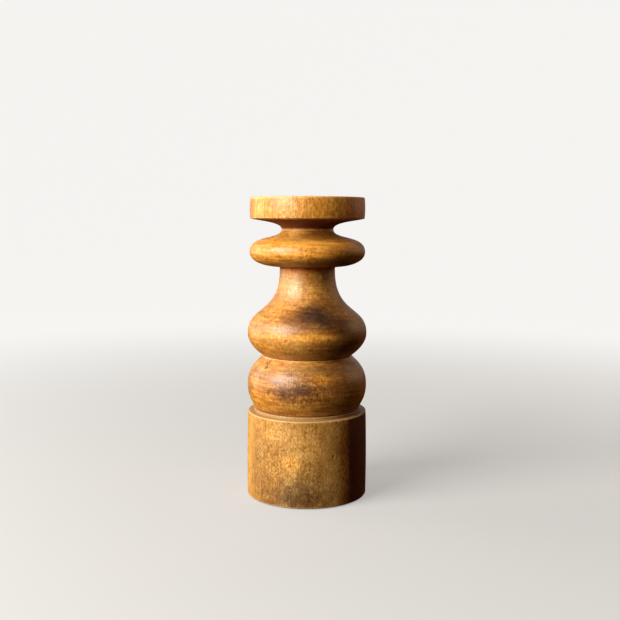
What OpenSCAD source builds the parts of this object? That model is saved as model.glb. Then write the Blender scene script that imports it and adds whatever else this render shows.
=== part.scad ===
// Turned wooden pillar candlestick.
// Five solid wooden sections are glued end to end, each joint hidden in a crease and held in line
// by a loose dowel. A spike disc is screwed into the recessed top, and a felt pad is let into the
// underside. The origin is the centre of the felt's lower face, with +Z up the turning axis.

/* [Base drum] */
// Diameter of the drum at its foot
drum_foot_d = 121.2; // [118:0.2:150]
// Narrowing of the drum's radius from foot to rim
drum_taper = 0.6; // [0:0.1:3]
// Height from the drum's underside to its ledge
drum_h = 85.3; // [50:0.1:140]
// Outward pull of the drum's side between foot and rim
drum_swell = 0.6; // [0:0.1:3]
// Radius of the drum's worn foot and rim edges
drum_edge_r = 1; // [0.4:0.1:3]
// Step of the raised seat outside the bulb's foot
seat_step = 1.7; // [0.8:0.1:3]
// Height of the raised seat above the ledge
seat_h = 2.7; // [1:0.1:8]
// Radius of the raised seat's edge
seat_edge_r = 0.5; // [0.2:0.1:0.8]

/* [Lower bulb] */
// Largest diameter of the bulb
bulb_d = 120.4; // [106:0.2:150]
// Height of the bulb between its two joints
bulb_h = 53.3; // [44:0.1:80]
// Height of the bulb's widest point above its foot
bulb_belly_z = 23.9; // [15:0.1:32]
// Diameter of the bulb's foot
bulb_foot_d = 104.4; // [90:0.2:106]
// Pull of the curve at the foot, across and up
bulb_foot_pull = [0.4, 0.22]; // [0:0.01:0.6]
// Fullness of the bulb below its widest point
bulb_low_pull = 0.5; // [0.2:0.01:0.75]
// Fullness of the bulb above its widest point
bulb_high_pull = 0.64; // [0.2:0.01:0.8]
// Pull of the curve at the upper lip, across and up
bulb_lip_pull = [0.235, 0.185]; // [0:0.005:0.5]
// Step of the bulb's upper lip outside the pear's foot
bulb_lip = 0.6; // [0.2:0.1:2]

/* [Pear body] */
// Largest diameter of the pear
pear_d = 120.2; // [95:0.2:150]
// Height of the pear between its two joints
pear_h = 89.4; // [70:0.1:130]
// Height of the pear's widest point above its foot
pear_belly_z = 22.5; // [12:0.1:32]
// Diameter of the pear's foot
pear_foot_d = 88.8; // [60:0.2:94]
// Pull of the curve at the foot, across and up
pear_foot_pull = [0.325, 0.16]; // [0:0.005:0.5]
// Fullness of the pear below its widest point
pear_low_pull = 0.48; // [0.2:0.01:0.8]
// Fullness of the pear above its widest point
pear_high_pull = 0.43; // [0.2:0.01:0.6]
// Diameter of the neck at its narrowest
neck_d = 55.8; // [40:0.2:80]
// Length of the even neck below the upper joint
neck_len = 3.4; // [2.6:0.1:12]
// Straightness of the neck below that length
neck_pull = 0.71; // [0.3:0.01:0.8]
// Radius of the fillet that flares the neck into the ring
neck_fillet_r = 1.9; // [0.5:0.1:2.5]

/* [Upper ring] */
// Largest diameter of the ring
ring_d = 116; // [85:0.2:150]
// Height of the ring between its two joints
ring_h = 37; // [28:0.1:60]
// Height of the ring's widest point above its foot
ring_belly_z = 14.6; // [8:0.1:22]
// Overhang of the ring's flat underside around the neck's flare
ring_overhang = 0.3; // [0.1:0.1:3]
// Flatness of the ring's underside
ring_foot_pull = 0.41; // [0.1:0.01:0.8]
// Fullness of the ring below its widest point
ring_low_pull = 0.75; // [0.2:0.01:0.95]
// Fullness of the ring above its widest point
ring_high_pull = 0.78; // [0.2:0.01:0.95]
// Straightness of the ring's throat
ring_throat_pull = 0.48; // [0.1:0.01:0.8]
// Diameter of the throat between ring and plate
throat_d = 52.2; // [40:0.2:66]

/* [Candle plate] */
// Diameter of the plate
plate_d = 114.4; // [104:0.2:150]
// Height of the plate from its joint to its rim
plate_h = 31.5; // [28:0.1:50]
// Height of the plate's upright band
band_h = 21.1; // [14:0.1:26]
// Outward pull of the band between its edges
band_swell = 0.6; // [0:0.1:3]
// Radius of the band's lower edge
band_edge_r = 0.8; // [0.3:0.1:2]
// Radius of the rim's edges, outside and inside
rim_edge_r = 1.2; // [0.4:0.1:2]
// Pull of the underside's curve at the band, inwards and down
under_band_pull = [0.35, 0.25]; // [0:0.01:0.6]
// Straightness of the underside's curve at the throat
under_throat_pull = 0.65; // [0.2:0.01:0.9]
// Diameter of the recess that takes the candle
recess_d = 96; // [78:1:98]
// Depth of the recess
recess_depth = 10; // [6:0.5:12]
// Radius between the recess's wall and floor
recess_corner_r = 3; // [1:0.5:5]

/* [Spike and disc] */
// Diameter of the steel disc on the recess's floor
disc_d = 50; // [44:1:72]
// Thickness of the disc
disc_t = 1.5; // [1.4:0.1:3]
// Radius of the disc's upper edge
disc_edge_r = 0.4; // [0.1:0.1:1]
// Diameter of the spike's straight stem
spike_d = 5; // [4:0.1:8]
// Height of the straight stem above the disc
spike_stem_h = 4.5; // [2:0.1:8]
// Height of the spike's point above the stem
spike_point_h = 3.7; // [2:0.1:8]
// Diameter of the spike's blunted tip
spike_tip_d = 0.8; // [0.4:0.1:2]
// Depth of the relief groove where the stem passes through the disc
spike_relief = 0.5; // [0.3:0.1:1]
// Diameter of the spike's flat head, which the disc clamps to the wood
spike_head_d = 10; // [9:0.1:14]
// Thickness of the spike's flat head
spike_head_t = 1.2; // [0.5:0.1:3]
// Number of screws that hold the disc
screw_count = 3; // [3:1:6]
// Diameter of the circle that the screws stand on
screw_circle_d = 36; // [28:1:42]
// Diameter of a screw's head
screw_head_d = 5.6; // [4:0.1:6]
// Height of a screw's countersunk head
screw_head_h = 1.3; // [1:0.1:1.4]
// Diameter of a screw's shank
screw_d = 3; // [2:0.1:4]
// Length of a screw with its head
screw_len = 9; // [6:0.5:14]
// Width of the slots of the cross in a screw's head
drive_w = 0.8; // [0.4:0.1:1]
// Length of the slots of the cross
drive_len = 3.4; // [2:0.1:3.6]
// Depth of the cross
drive_depth = 0.8; // [0.3:0.1:0.9]

/* [Dowels] */
// Diameter of the two dowels in the body
body_dowel_d = 25; // [16:1:36]
// Length of the two dowels in the body
body_dowel_len = 40; // [20:1:42]
// Diameter of the two dowels above and below the ring
neck_dowel_d = 20; // [12:1:30]
// Length of the two dowels above and below the ring
neck_dowel_len = 26; // [14:1:27]
// Chamfer on the ends of every dowel
dowel_chamfer = 1.5; // [0.5:0.1:3]

/* [Felt pad] */
// Thickness of the felt
felt_t = 2; // [1.5:0.1:5]
// Depth of the shallow bed that the felt is glued into
felt_bed = 1.2; // [0.4:0.1:1.4]
// Distance of the felt's bed from the foot's edge
felt_margin = 4; // [2:0.5:12]

/* [Clearances] */
// Gap around a dowel in its socket
glue_gap = 0.1; // [0.05:0.05:0.3]
// Gap at each end of a dowel
end_gap = 0.5; // [0.2:0.1:0.5]
// Gap around the felt in its bed
felt_gap = 0.3; // [0.1:0.1:1]
// Gap around the metal shanks and screw heads in their holes
metal_gap = 0.05; // [0.02:0.01:0.15]

/* [Hidden] */
$fn = 96;
flank_steps = 20;
edge_steps = 4;
cut = 1;

// Heights of the joints, from the felt's lower face up
drum_z = felt_t - felt_bed;
ledge_z = drum_z + drum_h;
seat_z = ledge_z + seat_h;
waist_z = seat_z + bulb_h;
neck_z = waist_z + pear_h;
throat_z = neck_z + ring_h;
rim_z = throat_z + plate_h;
floor_z = rim_z - recess_depth;
disc_z = floor_z + disc_t;

// Radii and outline points that neighbouring sections share
neck_top_r = neck_d / 2 + neck_fillet_r;
throat_end = [throat_d / 2, throat_z];
felt_bed_d = drum_foot_d - 2 * felt_margin;

wood_gold = "#a4642a";
wood_amber = "#b06c2c";
wood_brown = "#8d5222";
beech = "#cfa877";
steel = "#9a9ca0";
felt_green = "#3c4a3a";

// Point at share t of a cubic curve
function cubic(a, b, c, d, t) =
    pow(1 - t, 3) * a + 3 * t * pow(1 - t, 2) * b + 3 * t * t * (1 - t) * c + pow(t, 3) * d;

// Curve from a to b; each pull is a share of the box between them, across and up
function flank(a, b, pull_a, pull_b) =
    let (span = b - a)
    let (near_a = a + [pull_a.x * span.x, pull_a.y * span.y])
    let (near_b = b - [pull_b.x * span.x, pull_b.y * span.y])
    [for (i = [0 : flank_steps]) cubic(a, near_a, near_b, b, i / flank_steps)];

// Upright side from a to b, swelling outwards between them
function swelling(a, b, swell) =
    let (third = (b - a) / 3)
    let (out = [swell, 0])
    [for (i = [0 : flank_steps]) cubic(a, a + third + out, b - third + out, b, i / flank_steps)];

// Round corner about a centre, between two angles
function corner(centre, r, from, to) =
    [for (i = [0 : edge_steps])
        let (angle = from + (to - from) * i / edge_steps)
        centre + r * [cos(angle), sin(angle)]];

module turned(outline) {
    rotate_extrude()
        polygon(outline);
}

// Hole for half a dowel in each of the two sections that meet at a joint
module socket(joint_z, dowel_d, dowel_len) {
    translate([0, 0, joint_z])
        cylinder(d = dowel_d + 2 * glue_gap, h = dowel_len + 2 * end_gap, center = true);
}

module dowel(joint_z, dowel_d, dowel_len) {
    half = dowel_len / 2;
    r = dowel_d / 2;
    translate([0, 0, joint_z])
        turned([
            [0, -half], [r - dowel_chamfer, -half], [r, -half + dowel_chamfer],
            [r, half - dowel_chamfer], [r - dowel_chamfer, half], [0, half]
        ]);
}

module felt_pad() {
    color(felt_green)
        cylinder(d = felt_bed_d - 2 * felt_gap, h = felt_t);
}

module base_drum() {
    foot_r = drum_foot_d / 2;
    rim_r = foot_r - drum_taper;
    seat_r = bulb_foot_d / 2 + seat_step;
    outline = concat(
        [[0, drum_z]],
        corner([foot_r - drum_edge_r, drum_z + drum_edge_r], drum_edge_r, -90, 0),
        swelling([foot_r, drum_z + drum_edge_r], [rim_r, ledge_z - drum_edge_r], drum_swell),
        corner([rim_r - drum_edge_r, ledge_z - drum_edge_r], drum_edge_r, 0, 90),
        [[seat_r, ledge_z]],
        corner([seat_r - seat_edge_r, seat_z - seat_edge_r], seat_edge_r, 0, 90),
        [[0, seat_z]]
    );
    color(wood_brown)
        difference() {
            turned(outline);
            socket(seat_z, body_dowel_d, body_dowel_len);
            translate([0, 0, drum_z - cut])
                cylinder(d = felt_bed_d, h = felt_bed + cut);
        }
}

module drum_dowel() {
    color(beech)
        dowel(seat_z, body_dowel_d, body_dowel_len);
}

module lower_bulb() {
    foot = [bulb_foot_d / 2, seat_z];
    belly = [bulb_d / 2, seat_z + bulb_belly_z];
    lip = [pear_foot_d / 2 + bulb_lip, waist_z];
    outline = concat(
        [[0, seat_z]],
        flank(foot, belly, bulb_foot_pull, [0, bulb_low_pull]),
        flank(belly, lip, [0, bulb_high_pull], bulb_lip_pull),
        [[0, waist_z]]
    );
    color(wood_gold)
        difference() {
            turned(outline);
            socket(seat_z, body_dowel_d, body_dowel_len);
            socket(waist_z, body_dowel_d, body_dowel_len);
        }
}

module bulb_dowel() {
    color(beech)
        dowel(waist_z, body_dowel_d, body_dowel_len);
}

module pear_body() {
    foot = [pear_foot_d / 2, waist_z];
    belly = [pear_d / 2, waist_z + pear_belly_z];
    neck = [neck_d / 2, neck_z - neck_len];
    outline = concat(
        [[0, waist_z]],
        flank(foot, belly, pear_foot_pull, [0, pear_low_pull]),
        flank(belly, neck, [0, pear_high_pull], [0, neck_pull]),
        corner([neck_top_r, neck_z - neck_fillet_r], neck_fillet_r, 180, 90),
        [[0, neck_z]]
    );
    color(wood_gold)
        difference() {
            turned(outline);
            socket(waist_z, body_dowel_d, body_dowel_len);
            socket(neck_z, neck_dowel_d, neck_dowel_len);
        }
}

module neck_dowel() {
    color(beech)
        dowel(neck_z, neck_dowel_d, neck_dowel_len);
}

module upper_ring() {
    foot = [neck_top_r + ring_overhang, neck_z];
    belly = [ring_d / 2, neck_z + ring_belly_z];
    outline = concat(
        [[0, neck_z]],
        flank(foot, belly, [ring_foot_pull, 0], [0, ring_low_pull]),
        flank(belly, throat_end, [0, ring_high_pull], [0, ring_throat_pull]),
        [[0, throat_z]]
    );
    color(wood_amber)
        difference() {
            turned(outline);
            socket(neck_z, neck_dowel_d, neck_dowel_len);
            socket(throat_z, neck_dowel_d, neck_dowel_len);
        }
}

module plate_dowel() {
    color(beech)
        dowel(throat_z, neck_dowel_d, neck_dowel_len);
}

module candle_plate() {
    plate_r = plate_d / 2;
    recess_r = recess_d / 2;
    band_z = rim_z - band_h;
    band_foot = [plate_r - band_edge_r, band_z];
    outline = concat(
        [[0, throat_z]],
        flank(throat_end, band_foot, [0, under_throat_pull], under_band_pull),
        corner([plate_r - band_edge_r, band_z + band_edge_r], band_edge_r, -90, 0),
        swelling([plate_r, band_z + band_edge_r], [plate_r, rim_z - rim_edge_r], band_swell),
        corner([plate_r - rim_edge_r, rim_z - rim_edge_r], rim_edge_r, 0, 90),
        corner([recess_r + rim_edge_r, rim_z - rim_edge_r], rim_edge_r, 90, 180),
        corner([recess_r - recess_corner_r, floor_z + recess_corner_r], recess_corner_r, 0, -90),
        [[0, floor_z]]
    );
    color(wood_amber)
        difference() {
            turned(outline);
            socket(throat_z, neck_dowel_d, neck_dowel_len);
            translate([0, 0, floor_z - spike_head_t])
                cylinder(d = spike_head_d + 2 * metal_gap, h = spike_head_t + cut);
            on_screw_circle()
                translate([0, 0, disc_z - screw_len])
                    cylinder(d = screw_d + 2 * metal_gap, h = screw_len);
        }
}

// Places its children once at each screw
module on_screw_circle() {
    for (i = [0 : screw_count - 1])
        rotate([0, 0, 360 * i / screw_count])
            translate([screw_circle_d / 2, 0, 0])
                children();
}

module spike_disc() {
    disc_r = disc_d / 2;
    outline = concat(
        [[0, floor_z], [disc_r, floor_z]],
        corner([disc_r - disc_edge_r, disc_z - disc_edge_r], disc_edge_r, 0, 90),
        [[0, disc_z]]
    );
    color(steel)
        difference() {
            turned(outline);
            translate([0, 0, floor_z - cut])
                cylinder(d = spike_d + 2 * metal_gap, h = disc_t + 2 * cut);
            on_screw_circle() {
                translate([0, 0, floor_z - cut])
                    cylinder(d = screw_d + 2 * metal_gap, h = disc_t + 2 * cut);
                translate([0, 0, disc_z - screw_head_h])
                    cylinder(d1 = screw_d + 2 * metal_gap, d2 = screw_head_d + 2 * metal_gap,
                        h = screw_head_h);
            }
        }
}

module candle_spike() {
    head_r = spike_head_d / 2;
    stem_r = spike_d / 2;
    relief_r = stem_r - spike_relief;
    point_z = disc_z + spike_stem_h;
    color(steel)
        turned([
            [0, floor_z - spike_head_t], [head_r, floor_z - spike_head_t], [head_r, floor_z],
            [relief_r, floor_z], [relief_r, disc_z], [stem_r, disc_z], [stem_r, point_z],
            [spike_tip_d / 2, point_z + spike_point_h], [0, point_z + spike_point_h]
        ]);
}

module disc_screws() {
    head_r = screw_head_d / 2;
    shank_r = screw_d / 2;
    color(steel)
        on_screw_circle()
            difference() {
                turned([
                    [0, disc_z - screw_len], [shank_r, disc_z - screw_len + screw_d],
                    [shank_r, disc_z - screw_head_h], [head_r, disc_z], [0, disc_z]
                ]);
                for (turn = [0, 90])
                    rotate([0, 0, turn])
                        translate([-drive_len / 2, -drive_w / 2, disc_z - drive_depth])
                            cube([drive_len, drive_w, drive_depth + cut]);
            }
}

felt_pad();
base_drum();
drum_dowel();
lower_bulb();
bulb_dowel();
pear_body();
neck_dowel();
upper_ring();
plate_dowel();
candle_plate();
spike_disc();
candle_spike();
disc_screws();
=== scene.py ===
import math

import bpy
import numpy as np
from mathutils import Matrix, Vector


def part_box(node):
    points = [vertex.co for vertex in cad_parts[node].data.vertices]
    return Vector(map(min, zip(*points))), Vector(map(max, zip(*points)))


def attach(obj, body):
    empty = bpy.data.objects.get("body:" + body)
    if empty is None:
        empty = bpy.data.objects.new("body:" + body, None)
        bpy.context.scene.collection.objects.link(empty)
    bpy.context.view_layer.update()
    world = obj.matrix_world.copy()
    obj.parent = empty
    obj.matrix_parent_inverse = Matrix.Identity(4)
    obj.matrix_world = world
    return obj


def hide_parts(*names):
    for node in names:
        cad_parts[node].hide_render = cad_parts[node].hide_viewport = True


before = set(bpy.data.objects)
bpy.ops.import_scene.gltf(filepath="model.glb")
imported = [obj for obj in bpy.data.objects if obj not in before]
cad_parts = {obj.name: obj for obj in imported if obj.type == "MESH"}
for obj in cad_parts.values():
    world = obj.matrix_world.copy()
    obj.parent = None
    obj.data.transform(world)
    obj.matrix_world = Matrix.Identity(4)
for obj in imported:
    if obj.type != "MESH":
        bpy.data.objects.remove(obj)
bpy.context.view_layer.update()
mm = 0.001


# Node trees: a wire carries one socket and turns arithmetic into Math nodes

class Wire:
    def __init__(self, bench, socket):
        self.bench = bench
        self.socket = socket

    def of(self, name):
        return Wire(self.bench, self.socket.node.outputs[name])

    def calc(self, operation, *others):
        sockets = dict(enumerate((self, *others)))
        return self.bench.make("ShaderNodeMath", {"operation": operation}, sockets)

    def __add__(self, other):
        return self.calc("ADD", other)

    def __radd__(self, other):
        return self.calc("ADD", other)

    def __sub__(self, other):
        return self.calc("SUBTRACT", other)

    def __rsub__(self, other):
        return self.bench.make("ShaderNodeMath", {"operation": "SUBTRACT"}, {0: other, 1: self})

    def __mul__(self, other):
        return self.calc("MULTIPLY", other)

    def __rmul__(self, other):
        return self.calc("MULTIPLY", other)

    def __truediv__(self, other):
        return self.calc("DIVIDE", other)


class Bench:
    def __init__(self, tree):
        self.tree = tree

    def feed(self, socket, value):
        if isinstance(value, Wire):
            self.tree.links.new(value.socket, socket)
        else:
            socket.default_value = value

    def make(self, kind, settings=None, sockets=None):
        node = self.tree.nodes.new(kind)
        for name, value in (settings or {}).items():
            if name == "stops":
                elements = node.color_ramp.elements
                while len(elements) < len(value):
                    elements.new(0.5)
                for element, (place, colour) in zip(elements, value):
                    element.position = place
                    element.color = (*colour, 1)
            else:
                setattr(node, name, value)
        for name, value in (sockets or {}).items():
            self.feed(node.inputs[name], value)
        shown = [socket for socket in node.outputs if socket.enabled]
        return Wire(self, shown[0]) if shown else node

    def split(self, vector):
        parts = self.make("ShaderNodeSeparateXYZ", {}, {0: vector})
        return parts.of("X"), parts.of("Y"), parts.of("Z")

    def join(self, x, y, z):
        return self.make("ShaderNodeCombineXYZ", {}, {0: x, 1: y, 2: z})

    def vector(self, operation, a, b):
        return self.make("ShaderNodeVectorMath", {"operation": operation}, {0: a, 1: b})

    def noise(self, place, scale=1.0, detail=2.0, roughness=0.5, distortion=0.0):
        sockets = {"Vector": place, "Scale": scale, "Detail": detail}
        sockets.update({"Roughness": roughness, "Distortion": distortion})
        return self.make("ShaderNodeTexNoise", {}, sockets)

    def step(self, value, low, high):
        sockets = {"Value": value, "From Min": low, "From Max": high}
        return self.make("ShaderNodeMapRange", {"interpolation_type": "SMOOTHSTEP"}, sockets)

    def blend(self, share, a, b, how="MIX"):
        settings = {"data_type": "RGBA", "blend_type": how}
        return self.make("ShaderNodeMix", settings, {0: share, 6: a, 7: b})


# Outlines: half sections in the XZ plane, drawn from the axis round to the axis

def cubic(a, b, c, d, t):
    return (1 - t) ** 3 * a + 3 * t * (1 - t) ** 2 * b + 3 * t * t * (1 - t) * c + t ** 3 * d


def flank(start, end, pullStart, pullEnd, steps):
    start, end = Vector(start), Vector(end)
    span = end - start
    nearStart = start + Vector((pullStart[0] * span.x, pullStart[1] * span.y))
    nearEnd = end - Vector((pullEnd[0] * span.x, pullEnd[1] * span.y))
    return [cubic(start, nearStart, nearEnd, end, i / steps) for i in range(steps + 1)]


def upright(start, end, swell, steps):
    start, end = Vector(start), Vector(end)
    third = (end - start) / 3
    out = Vector((swell, 0))
    curve = (start, start + third + out, end - third + out, end)
    return [cubic(*curve, i / steps) for i in range(steps + 1)]


def corner(centre, radius, turnFrom, turnTo, steps=6):
    points = []
    for i in range(steps + 1):
        turn = math.radians(turnFrom + (turnTo - turnFrom) * i / steps)
        points.append(Vector(centre) + radius * Vector((math.cos(turn), math.sin(turn))))
    return points


def straight(start, end, steps):
    return [Vector(start).lerp(Vector(end), i / steps) for i in range(steps + 1)]


def nearness(points, marks):
    # 1 at a marked place on the outline, fading to 0 over its reach
    share = np.zeros(len(points))
    for (r, z), reach, strength in marks:
        far = np.array([(point - Vector((r, z))).length for point in points])
        share = np.maximum(share, strength * np.exp(-(far / reach) ** 2))
    return share


def outlineObject(name, points, worn, grimy):
    mesh = bpy.data.meshes.new(name)
    edges = [(i, i + 1) for i in range(len(points) - 1)]
    mesh.from_pydata([(point.x, 0, point.y) for point in points], edges, [])
    for field, marks in (("worn", worn), ("grimy", grimy)):
        attribute = mesh.attributes.new(field, "FLOAT", "POINT")
        attribute.data.foreach_set("value", nearness(points, marks).astype(np.float32))
    made = bpy.data.objects.new(name, mesh)
    bpy.context.scene.collection.objects.link(made)
    return made


def radiusAt(points, z):
    # Largest radius of the outline at a height
    best = 0
    for a, b in zip(points, points[1:]):
        if min(a.y, b.y) <= z <= max(a.y, b.y) and abs(b.y - a.y) > 1e-9:
            best = max(best, a.x + (b.x - a.x) * (z - a.y) / (b.y - a.y))
    return best


def onSection(points, turnDegrees, z):
    # Turn 0 faces the front, and a positive turn is to the right
    turn = math.radians(turnDegrees)
    radius = radiusAt(points, z)
    return (radius * math.sin(turn), -radius * math.cos(turn), z)


# The lathe: sweeps an outline round the axis, with tool ridges, nicks and cracks

def latheTree():
    tree = bpy.data.node_groups.new("lathe", "GeometryNodeTree")
    made = {}
    for name, kind in (("Geometry", "Geometry"), ("Columns", "Int"), ("Front Detail", "Float"),
                       ("Ridge Depth", "Float"), ("Ridge Pitch", "Float"), ("Wander Depth", "Float"),
                       ("Nick Depth", "Float"), ("Nick Size", "Float"), ("Split Width", "Float"),
                       ("Split Depth", "Float"), ("Splits", "Object"), ("Finish", "Material")):
        made[name] = tree.interface.new_socket(name=name, in_out="INPUT", socket_type="NodeSocket" + kind)
    tree.interface.new_socket(name="Geometry", in_out="OUTPUT", socket_type="NodeSocketGeometry")
    bench = Bench(tree)
    given = bench.make("NodeGroupInput")
    outline = given.of("Geometry")

    size = bench.make("GeometryNodeAttributeDomainSize", {"component": "MESH"}, {"Geometry": outline})
    rows = size.of("Point Count")
    grid = bench.make("GeometryNodeMeshGrid", {}, {
        "Size X": 1.0, "Size Y": 1.0, "Vertices X": given.of("Columns"), "Vertices Y": rows})
    place = bench.make("GeometryNodeInputPosition")
    across, along, _ = bench.split(place)
    row = ((along + 0.5) * (rows - 1)).calc("ROUND")

    def sample(kind, value):
        sockets = {"Geometry": outline, "Value": value, "Index": row}
        return bench.make("GeometryNodeSampleIndex", {"data_type": kind}, sockets)

    def named(name):
        return bench.make("GeometryNodeInputNamedAttribute", {"data_type": "FLOAT"}, {"Name": name})

    radius, _, height = bench.split(sample("FLOAT_VECTOR", place))
    worn = sample("FLOAT", named("worn"))
    grimy = sample("FLOAT", named("grimy"))

    # Columns crowd together at the front, where turn is half way round
    turn = (across + 0.5) * math.tau
    turn = turn + turn.calc("SINE") * given.of("Front Detail")
    sideways, backwards = turn.calc("SINE"), turn.calc("COSINE")
    skin = bench.join(sideways * radius, backwards * radius, height)

    ridgePlace = bench.join(sideways * 1.3, backwards * 1.3, height * given.of("Ridge Pitch"))
    ridges = bench.noise(ridgePlace, 1.0, 3.0, 0.6) * given.of("Ridge Depth")
    wander = bench.noise(skin, 22.0, 1.0) * given.of("Wander Depth")
    chips = bench.step(bench.noise(skin, given.of("Nick Size"), 2.0, 0.6), 0.58, 0.7) * worn
    crackLines = bench.make("GeometryNodeObjectInfo", {}, {"Object": given.of("Splits")}).of("Geometry")
    gap = bench.make("GeometryNodeProximity", {"target_element": "EDGES"}, {
        "Geometry": crackLines, "Sample Position": skin}).of("Distance")
    raggedness = bench.noise(skin, 900.0, 2.0) * 1.6 - 0.8
    share = gap / given.of("Split Width") + raggedness
    split = 1 - bench.step(share, 0.1, 1.1)
    inwards = ridges + wander + chips * given.of("Nick Depth") + split * given.of("Split Depth")
    easing = (radius / 0.012).calc("MINIMUM", 1.0)
    turned = (radius - inwards * easing).calc("MAXIMUM", 0.0)

    shape = grid.of("Mesh")
    for name, value in (("worn", worn), ("grimy", grimy), ("split", split), ("chipped", chips)):
        settings = {"data_type": "FLOAT", "domain": "POINT"}
        sockets = {"Geometry": shape, "Name": name, "Value": value}
        shape = bench.make("GeometryNodeStoreNamedAttribute", settings, sockets)
    place = bench.join(sideways * turned, backwards * turned, height)
    shape = bench.make("GeometryNodeSetPosition", {}, {"Geometry": shape, "Position": place})
    shape = bench.make("GeometryNodeMergeByDistance", {}, {"Geometry": shape, "Distance": 2e-6})
    shape = bench.make("GeometryNodeFlipFaces", {}, {"Mesh": shape})
    shape = bench.make("GeometryNodeSetShadeSmooth", {}, {"Geometry": shape, "Shade Smooth": True})
    shape = bench.make("GeometryNodeRealizeInstances", {}, {"Geometry": shape})
    shape = bench.make("GeometryNodeSetMaterial", {}, {"Geometry": shape, "Material": given.of("Finish")})
    bench.make("NodeGroupOutput", {}, {"Geometry": shape})
    return tree


def splitsObject(name, points, cracks):
    verts, edges = [], []
    for crack in cracks:
        for i, (turn, z) in enumerate(crack):
            if i:
                edges.append((len(verts) - 1, len(verts)))
            verts.append(onSection(points, turn, z))
    mesh = bpy.data.meshes.new(name)
    mesh.from_pydata(verts, edges, [])
    made = bpy.data.objects.new(name, mesh)
    bpy.context.scene.collection.objects.link(made)
    return made


lathe = latheTree()


def turnSection(node, points, part, finish, worn=(), grimy=()):
    piece = outlineObject(node + "_turned", points, worn, grimy)
    cracks, splitWidth, splitDepth = part["cracks"], part["splitWidth"], part["splitDepth"]
    if not cracks:
        # A speck at the back keeps the distance to the cracks defined, and is too thin to show
        cracks = [[(180, points[1].y), (180.01, points[1].y)]]
        splitWidth, splitDepth = 0.001 * mm, 0.0
    splits = splitsObject(node + "_splits", points, cracks)
    modifier = piece.modifiers.new("lathe", "NODES")
    modifier.node_group = lathe
    values = {"Columns": part["columns"], "Front Detail": part["frontDetail"],
              "Ridge Depth": part["ridgeDepth"], "Ridge Pitch": part["ridgePitch"],
              "Wander Depth": part["wanderDepth"], "Nick Depth": part["nickDepth"],
              "Nick Size": part["nickSize"], "Split Width": splitWidth, "Split Depth": splitDepth,
              "Splits": splits, "Finish": finish}
    for item in lathe.interface.items_tree:
        if item.name in values:
            modifier[item.identifier] = values[item.name]
    evaluated = piece.evaluated_get(bpy.context.evaluated_depsgraph_get())
    mesh = bpy.data.meshes.new_from_object(evaluated)
    piece.modifiers.clear()
    piece.data = mesh
    bpy.data.objects.remove(splits)
    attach(piece, "root")
    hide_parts(node)
    print("turned", node, len(mesh.polygons), "faces")
    return piece


# Finishes

def newFinish(name):
    material = bpy.data.materials.new(name)
    material.use_nodes = True
    material.node_tree.nodes.clear()
    return material, Bench(material.node_tree)


def surface(bench, sockets):
    shader = bench.make("ShaderNodeBsdfPrincipled", {}, sockets)
    bench.make("ShaderNodeOutputMaterial", {}, {"Surface": shader})


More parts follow.
